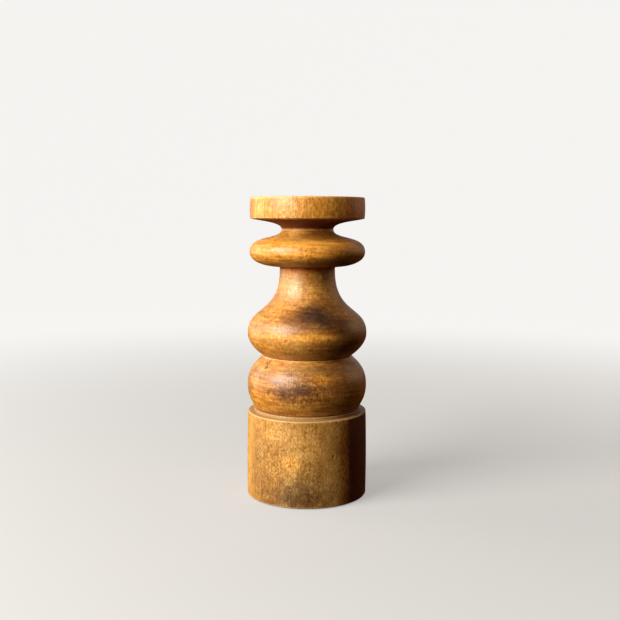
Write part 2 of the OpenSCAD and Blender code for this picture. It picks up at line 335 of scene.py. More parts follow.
def woodFinish(name, look):
    material, bench = newFinish(name)
    place = bench.make("ShaderNodeTexCoord").of("Object")
    x, y, height = bench.split(place)
    away = (x * x + y * y).calc("SQRT").calc("MAXIMUM", 0.001)
    sideways, backwards = x / away, y / away
    seed = look["seed"]

    def field(name):
        return bench.make("ShaderNodeAttribute", {"attribute_name": name}).of("Fac")

    # Streaks left round the work by the tool and the sander
    def around(run, pitch):
        return bench.join(sideways * run, backwards * run, height * pitch + seed)

    lines = bench.noise(around(look["lineRun"], look["linePitch"]), 1.0, 5.0, 0.7)
    bands = bench.noise(around(look["lineRun"] * 0.6, look["linePitch"] * 0.22), 1.0, 3.0, 0.6)
    # Upright grain, curly figure, pale worm-like flecks and dark pores
    long = bench.vector("MULTIPLY", place, (1, 1, look["grainStretch"]))
    grain = bench.noise(long, look["grainScale"], 4.0, 0.65, 0.4)
    curl = bench.vector("MULTIPLY", place, (1, 1, look["figureStretch"]))
    figure = bench.noise(curl, look["figureScale"], 3.0, 0.6, look["figureCurl"])
    short = bench.vector("MULTIPLY", place, (1, 1, look["fleckStretch"]))
    fleckNoise = bench.noise(short, look["fleckScale"], 3.0, 0.55, 0.8)
    flecks = bench.step(fleckNoise, *look["fleckEdge"])
    pores = bench.step(fleckNoise, *look["poreEdge"])
    # Growth rings about a pith that is off centre: arcs on the ends, upright bands on the sides
    px, py = x - look["pith"][0], y - look["pith"][1]
    slow = bench.vector("MULTIPLY", place, (1, 1, look["swayStretch"]))
    sway = bench.noise(slow, look["swayScale"], 2.0) * look["sway"]
    ringPlace = ((px * px + py * py).calc("SQRT") + sway) * look["ringPitch"] + seed
    rings = bench.noise(bench.join(ringPlace, 0.0, 0.0), 1.0, 3.0, 0.6)
    patches = bench.noise(bench.vector("ADD", place, (seed, 0, 0)), look["patchScale"], 4.0, 0.6, 0.6)
    mottle = bench.noise(bench.vector("ADD", place, (0, seed, 0)), look["mottleScale"], 5.0, 0.6, 0.3)

    tone = look["tone"] + (lines - 0.5) * look["lines"] + (bands - 0.5) * look["bands"]
    tone = tone + (grain - 0.5) * look["grain"] + (figure - 0.5) * look["figure"]
    tone = tone + (patches - 0.5) * look["patches"] + (mottle - 0.5) * look["mottle"]
    tone = tone + (rings - 0.5) * look["rings"]
    tone = tone + (flecks * look["flecks"] - pores * look["pores"]) * (patches * 2.4 - 0.2)
    colour = bench.make("ShaderNodeValToRGB", {"stops": look["stops"]}, {"Fac": tone})

    # Upright streaks of darker or paler wood, and of painted shade, between two turns in degrees
    turn = x.calc("ARCTAN2", y * -1) * (180 / math.pi)
    fibrePlace = bench.vector("MULTIPLY", place, (1, 1, look["fibreStretch"]))
    fibres = bench.noise(fibrePlace, look["fibreScale"], 4.0, 0.65) - 0.5
    for streak in look["streaks"]:
        at = turn + fibres * streak["ragged"]
        share = bench.step(at, streak["from"], streak["from"] + streak["fadeIn"])
        share = share * (1 - bench.step(at, streak["to"] - streak["fadeOut"], streak["to"]))
        colour = bench.blend(share * streak["strength"], colour, streak["tint"], streak["how"])

    # Stains, and blots of painted shade, painted highlight and painted bounce light, which can also dull
    # the varnish
    dull = 0.0
    for blot in look["stainsAndPaintedLight"]:
        off = bench.vector("SUBTRACT", place, blot["at"])
        off = bench.vector("DIVIDE", off, blot["size"])
        far = bench.make("ShaderNodeVectorMath", {"operation": "LENGTH"}, {0: off}).of("Value")
        stretched = bench.vector("MULTIPLY", place, (1, 1, blot["streak"]))
        rough = bench.noise(stretched, blot["grit"], 5.0, 0.7) - 0.5
        share = 1 - bench.step(far + rough * blot["ragged"], 1 - blot["soft"], 1.0)
        share = share * blot["strength"]
        colour = bench.blend(share, colour, blot["tint"], blot["how"])
        dull = dull + share * blot["dull"]

    # Edges rubbed pale, with a painted highlight where a mark sits on a lit edge, creases filled with grime
    # and dark cracks
    worn, grimy = field("worn"), field("grimy")
    paleWearAndHighlight = bench.step(worn * (0.6 + mottle * 0.8), 0.25, 0.8)
    colour = bench.blend(paleWearAndHighlight * look["paleWearAndHighlight"], colour, look["paleWearAndHighlightTint"])
    grime = grimy * (0.55 + mottle * 0.9)
    colour = bench.blend(grime.calc("MINIMUM", 1.0) * look["grime"], colour, look["grimeTint"])
    colour = bench.blend(field("split"), colour, look["crackTint"])

    roughness = look["roughness"] + (lines - 0.5) * look["lineRough"]
    roughness = roughness + (mottle - 0.5) * look["mottleRough"] + flecks * look["fleckRough"]
    roughness = roughness + dull + paleWearAndHighlight * 0.12 + grimy * 0.15 + field("split") * 0.3
    relief = (lines - 0.5) * look["lineRelief"] + (grain - 0.5) * look["grainRelief"]
    relief = relief + (fleckNoise - 0.5) * look["fleckRelief"] + (figure - 0.5) * look["figureRelief"]
    bump = bench.make("ShaderNodeBump", {}, {"Height": relief, "Distance": 0.001, "Strength": 1.0})
    varnish = (1 - dull * look["varnishLoss"]).calc("MAXIMUM", 0.0) * look["varnish"]
    surface(bench, {"Base Color": colour, "Roughness": roughness, "Normal": bump,
                    "Coat Weight": varnish, "Coat Roughness": look["varnishRoughness"],
                    "Specular IOR Level": look["shine"]})
    return material


goldStops = [(0.0, (0.035, 0.010, 0.002)), (0.3, (0.17, 0.048, 0.005)), (0.5, (0.43, 0.150, 0.013)),
             (0.68, (0.68, 0.285, 0.032)), (1.0, (0.92, 0.56, 0.17))]
honeyStops = [(0.0, (0.032, 0.010, 0.002)), (0.3, (0.15, 0.045, 0.005)), (0.5, (0.40, 0.148, 0.016)),
              (0.68, (0.61, 0.28, 0.050)), (1.0, (0.88, 0.58, 0.22))]
strawStops = [(0.0, (0.032, 0.010, 0.002)), (0.3, (0.14, 0.045, 0.006)), (0.5, (0.38, 0.162, 0.024)),
              (0.68, (0.60, 0.31, 0.066)), (1.0, (0.88, 0.60, 0.24))]

commonWood = {
    "stops": honeyStops, "tone": 0.53,
    "lineRun": 2.6, "linePitch": 480.0, "lines": 0.62, "bands": 0.26, "lineRelief": 0.13,
    "grainScale": 420.0, "grainStretch": 0.06, "grain": 0.22, "grainRelief": 0.03,
    "figureScale": 190.0, "figureStretch": 0.5, "figureCurl": 1.2, "figure": 0.15, "figureRelief": 0.06,
    "fleckScale": 430.0, "fleckStretch": 0.6, "flecks": 0.10, "pores": 0.08, "fleckRelief": 0.12,
    "fleckEdge": (0.5, 0.62), "poreEdge": (0.46, 0.36),
    "patchScale": 24.0, "patches": 0.24, "mottleScale": 150.0, "mottle": 0.14,
    "pith": (0.021, 0.034), "ringPitch": 420.0, "rings": 0.12, "swayScale": 14.0, "sway": 0.02,
    "swayStretch": 0.25, "fibreScale": 260.0, "fibreStretch": 0.1, "crackTint": (0.018, 0.007, 0.003, 1),
    "paleWearAndHighlight": 0.6, "paleWearAndHighlightTint": (0.8, 0.48, 0.15, 1), "grime": 0.8, "grimeTint": (0.04, 0.014, 0.004, 1),
    "roughness": 0.47, "shine": 0.4, "varnish": 0.22, "varnishRoughness": 0.36,
    "varnishLoss": 4.0, "lineRough": 0.3, "mottleRough": 0.3, "fleckRough": 0.05,
    "stainsAndPaintedLight": [], "streaks": [],
}


def stainOrPaintedLight(at, size, tint, strength, **changes):
    # A blot that fills an ellipsoid, used for stains and for painted shade and highlights: its middle, its
    # half sizes, its tint and how strong it is
    common = {"ragged": 1.0, "soft": 0.8, "grit": 120.0, "streak": 1.0, "dull": 0.0, "how": "MULTIPLY"}
    return {"at": at, "size": size, "tint": (*tint, 1), "strength": strength, **common, **changes}


commonLathe = {
    "columns": 320, "frontDetail": 0.62, "ridgeDepth": 0.05 * mm, "ridgePitch": 700.0,
    "wanderDepth": 0.3 * mm, "nickDepth": 0.5 * mm, "nickSize": 160.0,
    "splitWidth": 0.6 * mm, "splitDepth": 0.9 * mm,
    # Runs of places on the surface, each a turn in degrees and a height in metres
    "cracks": [],
}


# Joints that the sections share

def seam(node, top):
    low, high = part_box(node)
    return (high if top else low).z


joint = {"clearance": 0.1 * mm, "endGap": 0.5 * mm, "endInset": 5 * mm, "seatInset": 6 * mm}
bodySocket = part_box("drum_dowel")[1].x + joint["clearance"]
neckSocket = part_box("neck_dowel")[1].x + joint["clearance"]
drumZ, seatZ = seam("base_drum", False), seam("base_drum", True)
waistZ, neckZ = seam("lower_bulb", True), seam("pear_body", True)
throatZ, rimZ = seam("upper_ring", True), seam("candle_plate", True)


def socketUnder(dowel, radius):
    # From the axis, out of a socket that opens downwards
    low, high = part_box(dowel)
    middle = (low.z + high.z) / 2
    top = high.z + joint["endGap"]
    return [Vector((0, top)), Vector((radius, top)), Vector((radius, middle))]


def socketOver(dowel, radius):
    # Into a socket that opens upwards, and back to the axis
    low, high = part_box(dowel)
    middle = (low.z + high.z) / 2
    bottom = low.z - joint["endGap"]
    return [Vector((radius, middle)), Vector((radius, bottom)), Vector((0, bottom))]


# Base drum

drum = {
    **commonLathe, **commonWood,
    "rimNarrowing": 0.6 * mm, "edge": 1.0 * mm, "swell": 0.6 * mm,
    "seatRadius": 53.9 * mm, "seatHeight": 2.7 * mm, "seatEdge": 0.5 * mm,
    "footRadius": 60.6 * mm, "ledgeInset": 0.6 * mm, "seatClear": 0.4 * mm, "wallRows": 110,
    "feltBedDepth": 1.2 * mm, "feltBedRadius": 56.6 * mm,
    "ridgeDepth": 0.02 * mm, "nickDepth": 0.6 * mm,
    "cracks": [[(-62, 0.030), (-61, 0.036)], [(25, 0.05), (25.5, 0.052)]],
    "seed": 2.0, "tone": 0.53, "stops": strawStops, "lines": 0.04, "bands": 0.08, "grain": 0.26,
    "figure": 0.12, "flecks": 0.13, "pores": 0.13, "rings": 0.2, "fleckScale": 640.0,
    "fleckStretch": 0.66, "figureScale": 110.0, "patches": 0.36, "mottle": 0.3, "mottleScale": 80.0,
    "roughness": 0.5, "fleckRelief": 0.16, "lineRelief": 0.0, "paleWearAndHighlight": 0.3, "grime": 0.35,
    "grimeTint": (0.12, 0.048, 0.010, 1),
    # Painted shade, a redder and darker cast over the right side; darker heartwood round the right side,
    # its edge towards the front; and a warmer left side
    "streaks": [
        {"from": 26, "to": 130, "fadeIn": 11, "fadeOut": 60, "tint": (0.74, 0.56, 0.40, 1),
         "strength": 1.0, "ragged": 10.0, "how": "MULTIPLY"},
        {"from": 38.5, "to": 160, "fadeIn": 7, "fadeOut": 85, "tint": (0.34, 0.15, 0.06, 1),
         "strength": 1.0, "ragged": 12.0, "how": "MULTIPLY"},
        {"from": 9, "to": 33, "fadeIn": 7, "fadeOut": 6, "tint": (0.42, 0.19, 0.035, 1),
         "strength": 0.35, "ragged": 12.0, "how": "MIX"},
        {"from": -130, "to": -42, "fadeIn": 50, "fadeOut": 28, "tint": (0.58, 0.28, 0.052, 1),
         "strength": 0.42, "ragged": 30.0, "how": "MIX"},
    ],
    "stainsAndPaintedLight": [
        # Dark blot low on the front, a darker foot and a pale spot under the rim
        stainOrPaintedLight((-0.006, -0.06, 0.014), (0.044, 0.03, 0.026), (0.34, 0.33, 0.4), 0.9, ragged=1.5,
              grit=160.0),
        stainOrPaintedLight((-0.02, -0.06, 0.003), (0.062, 0.05, 0.018), (0.58, 0.52, 0.52), 0.85, ragged=1.5),
        stainOrPaintedLight((0.006, -0.06, 0.072), (0.009, 0.02, 0.009), (1.12, 1.2, 1.5), 0.6),
        # The ledge is plain and smooth
        stainOrPaintedLight((0.0, 0.0, 0.0876), (0.5, 0.5, 0.0023), (0.31, 0.18, 0.066), 0.7, ragged=0.1, soft=0.2,
              how="MIX"),
        # Dim middle with a warm patch over it
        stainOrPaintedLight((0.006, -0.06, 0.032), (0.022, 0.03, 0.03), (0.62, 0.58, 0.6), 0.7, ragged=1.2),
        stainOrPaintedLight((-0.014, -0.06, 0.045), (0.012, 0.03, 0.01), (1.5, 1.35, 1.0), 0.7, ragged=1.4),
        # Left side, from dim to pale and back
        stainOrPaintedLight((-0.048, -0.038, 0.078), (0.016, 0.02, 0.012), (0.8, 0.72, 0.66), 0.5, ragged=1.6),
        stainOrPaintedLight((-0.041, -0.045, 0.076), (0.016, 0.03, 0.01), (1.2, 1.16, 1.05), 0.7, ragged=1.4,
              grit=200.0),
        stainOrPaintedLight((-0.046, -0.04, 0.026), (0.024, 0.03, 0.034), (0.68, 0.64, 0.7), 0.85, ragged=1.6,
              grit=160.0),
        stainOrPaintedLight((-0.059, -0.016, 0.045), (0.01, 0.04, 0.05), (1.15, 1.15, 1.05), 0.8, ragged=1.2,
              grit=200.0),
        # Cool patch right of the middle, dim left and pale upper left
        stainOrPaintedLight((0.02, -0.058, 0.064), (0.012, 0.02, 0.03), (0.98, 0.95, 1.05), 0.7, ragged=0.4),
        stainOrPaintedLight((-0.046, -0.04, 0.055), (0.014, 0.03, 0.022), (0.8, 0.8, 0.86), 0.7, ragged=1.4,
              grit=200.0),
        stainOrPaintedLight((-0.022, -0.055, 0.0715), (0.026, 0.03, 0.008), (1.12, 1.1, 1.18), 0.7, ragged=1.6,
              grit=200.0),
    ],
}


def makeDrum():
    part = drum
    foot, rim, seat = part["footRadius"], part["footRadius"] - part["rimNarrowing"], part["seatRadius"]
    edge, seatEdge = part["edge"], part["seatEdge"]
    ledgeZ = seatZ - part["seatHeight"]
    bedZ = drumZ + part["feltBedDepth"]
    points = [
        Vector((0, bedZ)), Vector((part["feltBedRadius"], bedZ)), Vector((part["feltBedRadius"], drumZ)),
        *corner((foot - edge, drumZ + edge), edge, -90, 0),
        *upright((foot, drumZ + edge), (rim, ledgeZ - edge), part["swell"], part["wallRows"])[1:-1],
        *corner((rim - edge, ledgeZ - edge), edge, 0, 90),
        *straight((rim - edge - part["ledgeInset"], ledgeZ), (seat + part["seatClear"], ledgeZ), 8),
        *straight((seat, ledgeZ), (seat, seatZ - seatEdge), 5),
        *corner((seat - seatEdge, seatZ - seatEdge), seatEdge, 15, 90, 4),
        Vector((seat - joint["seatInset"], seatZ)),
        *socketOver("drum_dowel", bodySocket),
    ]
    worn = [((foot - 0.3 * edge, drumZ + 0.3 * edge), 1.6 * mm, 0.9),
            ((rim - 0.3 * edge, ledgeZ - 0.3 * edge), 1.3 * mm, 1.0),
            ((seat, seatZ), 0.8 * mm, 0.5)]
    grimy = [((seat + 0.5 * mm, ledgeZ), 1.1 * mm, 1.0), ((seat - 1.6 * mm, seatZ), 0.8 * mm, 0.6)]
    return turnSection("base_drum", points, part, woodFinish("drumWood", part), worn, grimy)


# Lower bulb

bulb = {
    **commonLathe, **commonWood,
    "footRadius": 52.2 * mm, "bellyRadius": 60.2 * mm, "bellyHeight": 23.9 * mm, "lipRadius": 45.0 * mm,
    "footPull": (0.4, 0.22), "lowPull": 0.5, "highPull": 0.64, "lipPull": (0.235, 0.185),
    "lowRows": 52, "highRows": 66, "lipWidth": 0.4 * mm, "lipLift": 0.0001 * mm,
    "columns": 400, "ridgeDepth": 0.06 * mm, "splitWidth": 0.8 * mm, "splitDepth": 1.0 * mm,
    "cracks": [
        [(-50, 0.1412), (-50, 0.1396), (-51, 0.134), (-52.8, 0.1239)],
        [(-55, 0.1385), (-53, 0.1378)], [(-49, 0.1352), (-48.5, 0.1335)],
        [(9.6, 0.1117), (10.2, 0.1115)], [(40, 0.0933), (42, 0.0938)],
    ],
    "seed": 5.0, "tone": 0.52, "lines": 0.78, "bands": 0.34, "flecks": 0.05, "varnish": 0.34,
    "varnishRoughness": 0.34,
    "stainsAndPaintedLight": [
        # Dark worn belt round the front
        stainOrPaintedLight((-0.006, -0.06, 0.1145), (0.038, 0.03, 0.0175), (0.27, 0.22, 0.26), 0.92, ragged=3.6,
              soft=0.95, grit=460.0, streak=0.9, dull=0.08),
        stainOrPaintedLight((-0.004, -0.06, 0.1165), (0.02, 0.03, 0.006), (0.55, 0.47, 0.5), 0.9, ragged=1.8,
              grit=200.0),
        stainOrPaintedLight((0.026, -0.052, 0.118), (0.024, 0.03, 0.013), (0.62, 0.52, 0.5), 0.85, ragged=1.6,
              grit=300.0),
        stainOrPaintedLight((-0.022, -0.056, 0.112), (0.013, 0.03, 0.009), (0.52, 0.46, 0.56), 0.8, ragged=2.6,
              grit=420.0),
        # Knot low on the right, with a brown run under it
        stainOrPaintedLight((0.0405, -0.0465, 0.0945), (0.0052, 0.0052, 0.0026), (0.12, 0.08, 0.06), 0.9, ragged=1.4,
              grit=420.0),
        stainOrPaintedLight((0.04, -0.036, 0.0905), (0.034, 0.03, 0.005), (0.66, 0.54, 0.34), 0.85, ragged=0.8),
        # Dull and bright patches over the belt, and the dark right shoulder
        stainOrPaintedLight((-0.022, -0.055, 0.1245), (0.022, 0.03, 0.008), (0.74, 0.72, 0.85), 0.8, ragged=1.2),
        stainOrPaintedLight((0.012, -0.058, 0.1257), (0.016, 0.02, 0.008), (1.35, 1.25, 0.8), 0.8, ragged=1.4),
        stainOrPaintedLight((0.046, -0.034, 0.127), (0.022, 0.03, 0.012), (0.5, 0.4, 0.36), 0.8, ragged=1.6),
        # Lighter left side and a thin upright streak
        stainOrPaintedLight((-0.048, -0.032, 0.1), (0.03, 0.04, 0.014), (1.22, 1.15, 0.9), 0.8, ragged=0.8),
        stainOrPaintedLight((-0.0148, -0.0545, 0.131), (0.0007, 0.02, 0.011), (0.5, 0.42, 0.36), 0.8, ragged=0.5),
        # Shade under the pear
        stainOrPaintedLight((0.03, -0.042, 0.1335), (0.044, 0.05, 0.0095), (0.38, 0.34, 0.35), 0.88, ragged=0.9,
              streak=2.2),
        stainOrPaintedLight((-0.004, -0.05, 0.134), (0.04, 0.05, 0.0085), (0.62, 0.66, 0.76), 0.85, streak=2.6),
        # Dark pits down the crack
        *[stainOrPaintedLight(at, (size, size, size * 1.4), (0.18, 0.12, 0.09), 0.9, ragged=1.6, grit=420.0)
          for at, size in (((-0.0367, -0.0305, 0.1398), 0.0022), ((-0.0408, -0.033, 0.134), 0.0019),
                           ((-0.0435, -0.0345, 0.129), 0.0012), ((-0.0464, -0.0352, 0.124), 0.0014))],
    ],
}


def makeBulb():
    part = bulb
    foot, lip = (part["footRadius"], seatZ), (part["lipRadius"], waistZ)
    belly = (part["bellyRadius"], seatZ + part["bellyHeight"])
    points = [
        *socketUnder("drum_dowel", bodySocket),
        Vector((part["footRadius"] - joint["endInset"], seatZ)),
        *flank(foot, belly, part["footPull"], (0, part["lowPull"]), part["lowRows"]),
        *flank(belly, lip, (0, part["highPull"]), part["lipPull"], part["highRows"])[1:],
        Vector((part["lipRadius"] - part["lipWidth"], waistZ + part["lipLift"])),
        Vector((part["lipRadius"] - joint["seatInset"], waistZ)),
        *socketOver("bulb_dowel", bodySocket),
    ]
    worn = [(lip, 0.9 * mm, 1.0), (belly, 9 * mm, 0.15)]
    grimy = [(foot, 1.5 * mm, 0.7)]
    return turnSection("lower_bulb", points, part, woodFinish("bulbWood", part), worn, grimy)


# Pear body

pear = {
    **commonLathe, **commonWood,
    "footRadius": 44.4 * mm, "bellyRadius": 60.1 * mm, "bellyHeight": 22.5 * mm, "neckRadius": 27.9 * mm,
    "neckLength": 3.4 * mm, "neckFillet": 1.9 * mm,
    "footPull": (0.325, 0.16), "lowPull": 0.48, "highPull": 0.43, "neckPull": 0.71,
    "lowRows": 50, "highRows": 110, "ridgeDepth": 0.06 * mm,
    "cracks": [[(30, 0.150), (31, 0.151)]],
    "seed": 8.0, "tone": 0.54, "varnish": 0.3, "varnishRoughness": 0.4,
    "stainsAndPaintedLight": [
        # Large dark smudge across the front, with its paler edges
        stainOrPaintedLight((0.008, -0.047, 0.186), (0.029, 0.04, 0.0185), (0.14, 0.12, 0.13), 0.98, ragged=0.9,
              soft=0.85, streak=1.4, dull=0.12),
        stainOrPaintedLight((0.027, -0.047, 0.179), (0.032, 0.04, 0.012), (0.19, 0.14, 0.12), 0.97, ragged=0.7,
              streak=1.6),
        stainOrPaintedLight((-0.01, -0.05, 0.183), (0.026, 0.04, 0.013), (0.46, 0.38, 0.37), 0.92, ragged=1.2,
              streak=2.0),
        stainOrPaintedLight((0.026, -0.036, 0.1925), (0.036, 0.04, 0.019), (0.44, 0.38, 0.38), 0.9, ragged=1.2,
              streak=1.5),
        # Painted highlight on the neck
        stainOrPaintedLight((-0.014, -0.03, 0.217), (0.02, 0.03, 0.018), (1.15, 1.45, 2.3), 0.8, ragged=1.3,
              streak=1.4),
        # Bright belt below the smudge, and painted shade darkening the right flank
        stainOrPaintedLight((-0.002, -0.059, 0.1668), (0.058, 0.04, 0.0048), (1.5, 1.5, 1.1), 0.9, ragged=2.4,
              soft=0.7, grit=480.0, streak=0.4),
        stainOrPaintedLight((0.042, -0.042, 0.167), (0.03, 0.04, 0.022), (0.5, 0.38, 0.26), 0.8),
        # Light patch low on the left
        stainOrPaintedLight((-0.04, -0.034, 0.152), (0.03, 0.04, 0.009), (1.25, 1.15, 1.0), 0.8, ragged=0.8,
              streak=2.0),
        # Painted bounce light: a bright orange band under the ring
        stainOrPaintedLight((-0.01, -0.026, 0.227), (0.026, 0.02, 0.0065), (1.45, 1.15, 0.6), 0.85, ragged=0.8),
        stainOrPaintedLight((0.0, 0.0, 0.2305), (0.06, 0.06, 0.005), (1.4, 0.95, 0.3), 0.85, ragged=0.3, dull=0.25),
        # Brown low front, and the tail of the smudge on the right
        stainOrPaintedLight((0.018, -0.056, 0.158), (0.024, 0.03, 0.013), (0.68, 0.58, 0.46), 0.8, ragged=1.3,
              streak=1.8),
        stainOrPaintedLight((0.033, -0.048, 0.171), (0.019, 0.03, 0.008), (0.44, 0.33, 0.27), 0.85, ragged=0.9,
              streak=1.8),
    ],
}


def makePear():
    part = pear
    foot = (part["footRadius"], waistZ)
    belly = (part["bellyRadius"], waistZ + part["bellyHeight"])
    neck = (part["neckRadius"], neckZ - part["neckLength"])
    fillet = part["neckFillet"]
    neckTop = part["neckRadius"] + fillet
    points = [
        *socketUnder("bulb_dowel", bodySocket),
        Vector((part["footRadius"] - joint["endInset"], waistZ)),
        *flank(foot, belly, part["footPull"], (0, part["lowPull"]), part["lowRows"]),
        *flank(belly, neck, (0, part["highPull"]), (0, part["neckPull"]), part["highRows"])[1:],
        *corner((neckTop, neckZ - fillet), fillet, 180, 90),
        *socketOver("neck_dowel", neckSocket),
    ]
    worn = [(foot, 0.8 * mm, 0.7), (belly, 7 * mm, 0.25), ((neckTop, neckZ), 0.8 * mm, 0.6)]
    grimy = [((neckTop, neckZ), 0.8 * mm, 0.3), (foot, 1.4 * mm, 0.6)]
    return turnSection("pear_body", points, part, woodFinish("pearWood", part), worn, grimy)


# Upper ring

ring = {
    **commonLathe, **commonWood,
    "footRadius": 30.1 * mm, "bellyRadius": 58.0 * mm, "bellyHeight": 14.6 * mm, "throatRadius": 26.1 * mm,
    "footPull": 0.41, "lowPull": 0.75, "highPull": 0.78, "throatPull": 0.48,
    "lowRows": 60, "highRows": 76, "ridgeDepth": 0.06 * mm,
    "seed": 11.0, "tone": 0.57, "stops": goldStops, "lines": 0.75, "bands": 0.35,
    "stainsAndPaintedLight": [
        # Dull shoulder and a bright streak round the belly
        stainOrPaintedLight((0.004, -0.034, 0.26), (0.05, 0.04, 0.0062), (0.62, 0.62, 0.8), 0.85, ragged=1.3,
              streak=4.0),
        stainOrPaintedLight((0.006, -0.055, 0.2445), (0.034, 0.03, 0.003), (1.5, 1.35, 0.9), 0.8, ragged=1.8,
              grit=260.0, streak=1.4),
        # Shade on the underside
        stainOrPaintedLight((0.0, 0.0, 0.232), (0.07, 0.07, 0.0115), (0.48, 0.36, 0.2), 0.92, ragged=0.3, dull=0.1),
    ],
}


def makeRing():
    part = ring
    foot = (part["footRadius"], neckZ)
    belly = (part["bellyRadius"], neckZ + part["bellyHeight"])
    throat = (part["throatRadius"], throatZ)
    points = [
        *socketUnder("neck_dowel", neckSocket),
        *flank(foot, belly, (part["footPull"], 0), (0, part["lowPull"]), part["lowRows"]),
        *flank(belly, throat, (0, part["highPull"]), (0, part["throatPull"]), part["highRows"])[1:],
        *socketOver("plate_dowel", neckSocket),
    ]
    # The mark at the throat is a painted highlight along the lit waist, not wear
    worn = [(throat, 1.1 * mm, 1.8), (belly, 6 * mm, 0.2)]
    grimy = [(foot, 3 * mm, 0.5)]
    return turnSection("upper_ring", points, part, woodFinish("ringWood", part), worn, grimy)


# Candle plate

plate = {
    **commonLathe, **commonWood,
    "radius": 57.2 * mm, "bandHeight": 21.1 * mm, "bandSwell": 0.6 * mm, "bandEdge": 0.8 * mm,
    "rimEdge": 1.2 * mm, "throatRadius": 26.1 * mm, "throatPull": 0.65, "bandPull": (0.35, 0.25),
    "recessRadius": 48.0 * mm, "recessDepth": 10.0 * mm, "recessCorner": 3.0 * mm,
    "headRadius": 5.05 * mm, "headDepth": 1.2 * mm, "flatInset": 1.0 * mm,
    "coveRows": 60, "bandRows": 36, "floorRows": 40, "ridgeDepth": 0.03 * mm,
    "seed": 14.0, "tone": 0.575, "stops": goldStops, "rings": 0.2, "pith": (-0.03, 0.022), "lines": 0.08,
    "bands": 0.12, "grain": 0.42, "figure": 0.40, "figureScale": 300.0, "figureStretch": 0.4,
    "mottle": 0.2, "flecks": 0.12, "lineRelief": 0.01, "figureRelief": 0.35,
    "stainsAndPaintedLight": [
        # Painted highlights on the band
        stainOrPaintedLight((-0.0185, -0.0545, 0.29), (0.012, 0.03, 0.014), (1.15, 1.55, 2.9), 0.95, ragged=1.8,
              grit=260.0, streak=0.5),
        stainOrPaintedLight((-0.045, -0.036, 0.29), (0.007, 0.03, 0.012), (1.1, 1.3, 1.7), 0.7, ragged=1.8,
              grit=260.0, streak=0.5),
        # Dark painted shade in the cove under the band, with the varnish dulled there
        stainOrPaintedLight((0.0, 0.0, 0.2745), (0.08, 0.08, 0.0062), (0.27, 0.15, 0.03), 0.98, ragged=0.2, soft=0.25,
              dull=0.3),
        # Painted shade making the right side redder and darker, and a worn left edge
        stainOrPaintedLight((0.048, -0.026, 0.29), (0.026, 0.04, 0.03), (1.15, 0.74, 0.3), 0.85),
        stainOrPaintedLight((-0.058, -0.01, 0.288), (0.01, 0.05, 0.012), (0.62, 0.54, 0.46), 0.7, ragged=1.2,
              streak=0.6),
        # Two thin painted highlights
        stainOrPaintedLight((-0.0125, -0.056, 0.2875), (0.004, 0.03, 0.016), (1.1, 1.35, 1.9), 0.8, ragged=1.6,
              grit=420.0, streak=0.3),
        stainOrPaintedLight((-0.0005, -0.057, 0.289), (0.0035, 0.03, 0.012), (1.1, 1.3, 1.8), 0.7, ragged=1.6,
              grit=420.0, streak=0.3),
    ],
}


def makePlate():
    part = plate
    outer, inner = part["radius"], part["recessRadius"]
    edge, rimEdge, bowl = part["bandEdge"], part["rimEdge"], part["recessCorner"]
    bandZ, floorZ = rimZ - part["bandHeight"], rimZ - part["recessDepth"]
    throat, flat = (part["throatRadius"], throatZ), part["flatInset"]
    points = [
        *socketUnder("plate_dowel", neckSocket),
        *flank(throat, (outer - edge, bandZ), (0, part["throatPull"]), part["bandPull"], part["coveRows"]),
        *corner((outer - edge, bandZ + edge), edge, -90, 0)[1:],
        *upright((outer, bandZ + edge), (outer, rimZ - rimEdge), part["bandSwell"], part["bandRows"])[1:-1],
        *corner((outer - rimEdge, rimZ - rimEdge), rimEdge, 0, 90),
        *straight((outer - rimEdge - flat, rimZ), (inner + rimEdge + flat, rimZ), 8),
        *corner((inner + rimEdge, rimZ - rimEdge), rimEdge, 90, 180),
        *corner((inner - bowl, floorZ + bowl), bowl, 0, -90, 10),
        *straight((inner - bowl - flat, floorZ), (part["headRadius"], floorZ), part["floorRows"]),
        Vector((part["headRadius"], floorZ - part["headDepth"])),
        Vector((0, floorZ - part["headDepth"])),
    ]
    worn = [((outer, bandZ), 1.2 * mm, 0.6), ((outer, rimZ), 2.4 * mm, 0.9), ((inner, rimZ), 2 * mm, 0.7)]
    grimy = [((inner, floorZ), 5 * mm, 0.8)]
    return turnSection("candle_plate", points, part, woodFinish("plateWood", part), worn, grimy)


# Felt pad

felt = {
    **commonLathe,
    "edge": 0.35 * mm, "middle": 2.0 * mm, "rows": 40, "columns": 200, "frontDetail": 0.0,
    "ridgeDepth": 0.0, "wanderDepth": 0.25 * mm, "nickDepth": 0.0,
    "dark": (0.018, 0.024, 0.017, 1), "pale": (0.06, 0.075, 0.055, 1), "fibreScale": 1900.0,
    "tuftScale": 420.0, "roughness": 0.95, "sheen": 0.3, "sheenRoughness": 0.5,
}


def feltFinish():
    look = felt
    material, bench = newFinish("darkFelt")
    place = bench.make("ShaderNodeTexCoord").of("Object")
    fibres = bench.noise(place, look["fibreScale"], 4.0, 0.7, 1.5)
    tufts = bench.noise(place, look["tuftScale"], 3.0)
    colour = bench.blend(bench.step(fibres, 0.35, 0.7), look["dark"], look["pale"])
    height = fibres * 0.25 + tufts * 0.2
    bump = bench.make("ShaderNodeBump", {}, {"Height": height, "Distance": 0.001})
    surface(bench, {"Base Color": colour, "Roughness": look["roughness"], "Normal": bump,
                    "Sheen Weight": look["sheen"], "Sheen Roughness": look["sheenRoughness"]})
    return material


